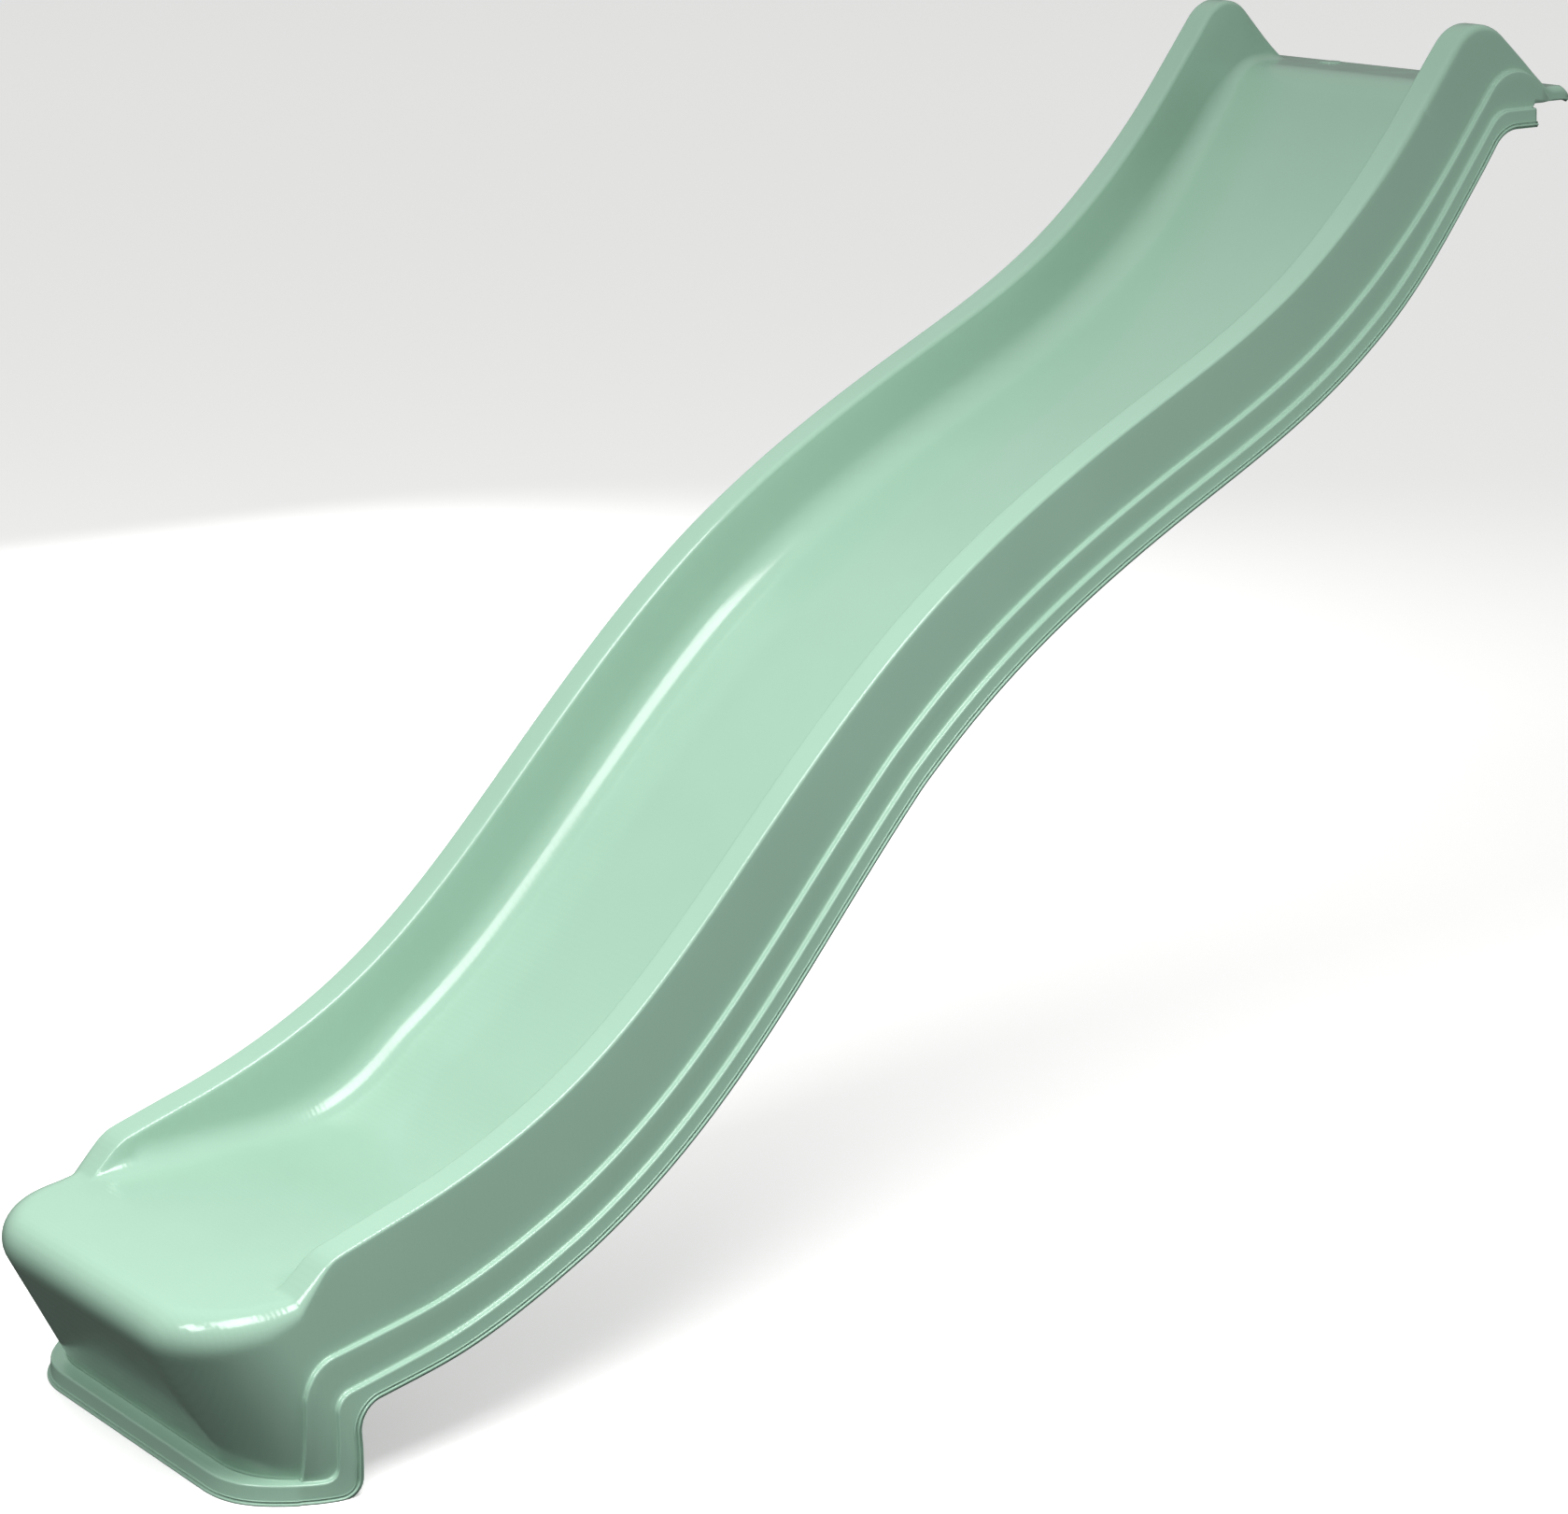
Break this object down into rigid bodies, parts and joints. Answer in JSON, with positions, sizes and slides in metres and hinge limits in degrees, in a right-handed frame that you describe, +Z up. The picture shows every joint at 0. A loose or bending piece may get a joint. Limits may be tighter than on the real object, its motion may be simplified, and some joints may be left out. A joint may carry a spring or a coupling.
{
  "type": "play tower slide",
  "caption": "Wavy one-piece plastic slide chute with side rims, hand-hold ears, a low run-out nose and a lip that screws to a play tower's platform.",
  "frame": {"origin": "middle of the slide's footprint, on the ground under it", "axes": "+X from the foot towards the platform, +Y across the chute, +Z up"},
  "size_m": [1.906, 0.4982, 1.2925],
  "materials": {
    "hdpe": "glossy blow-moulded HDPE, pastel green",
    "cap_plastic": "injection-moulded polyethylene, pastel green",
    "zinc_steel": "zinc-plated steel"
  },
  "bodies": {
    "root": {"slide_shell": "hdpe", "platform_screws": "zinc_steel", "screw_washers": "zinc_steel", "screw_caps": "cap_plastic"}
  },
  "joints": []
}
